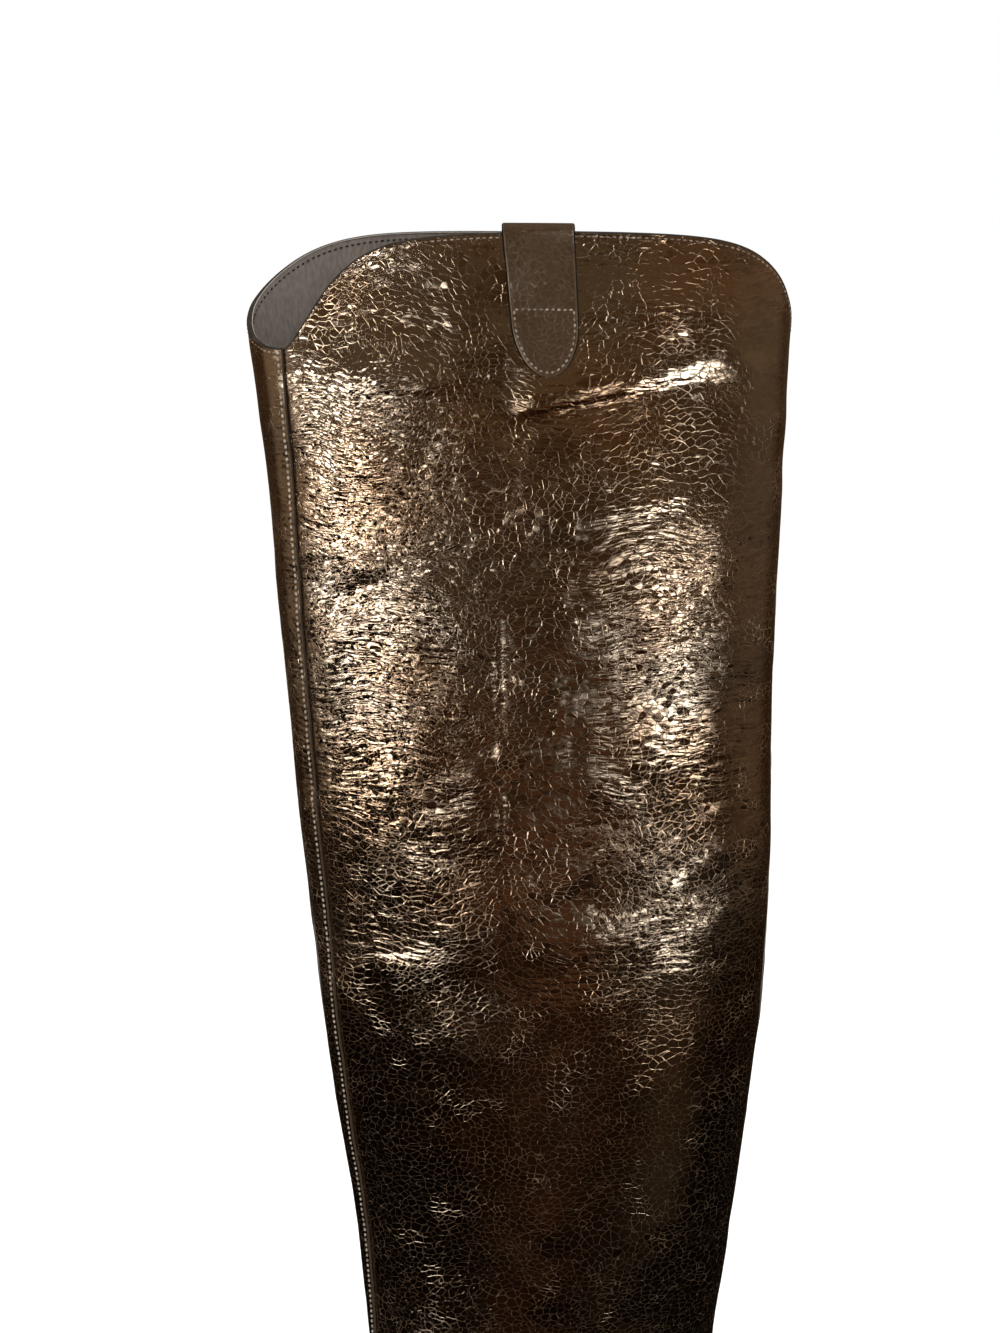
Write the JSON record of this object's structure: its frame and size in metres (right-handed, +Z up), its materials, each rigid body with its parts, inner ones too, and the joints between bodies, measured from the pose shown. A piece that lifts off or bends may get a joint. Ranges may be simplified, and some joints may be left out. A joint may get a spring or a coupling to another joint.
{
  "type": "over-the-knee boot",
  "caption": "Tall pull-on boot in crackled metallic leather, with a rim that dips at its seams, a folded pull strap at the side and a block heel.",
  "frame": {"origin": "on the floor, under the middle of the boot's box", "axes": "+X from heel to toe, +Y to the wearer's left, which is the outer side of this boot, +Z up the shaft"},
  "size_m": [0.2648, 0.0864, 0.6433],
  "materials": {
    "crackled_leather": "dark bronze metallic foil, finely crackled",
    "strap_leather": "dark bronze metallic foil, finely crackled",
    "insole_lining": "matt taupe lining",
    "sole_rubber": "matt dark brown",
    "heel_cover": "satin dark brown",
    "top_piece_rubber": "matt black"
  },
  "bodies": {
    "root": {"upper": "crackled_leather", "pull_strap": "strap_leather", "insole": "insole_lining", "outsole": "sole_rubber", "heel_block": "heel_cover", "heel_top_piece": "top_piece_rubber"}
  },
  "joints": []
}
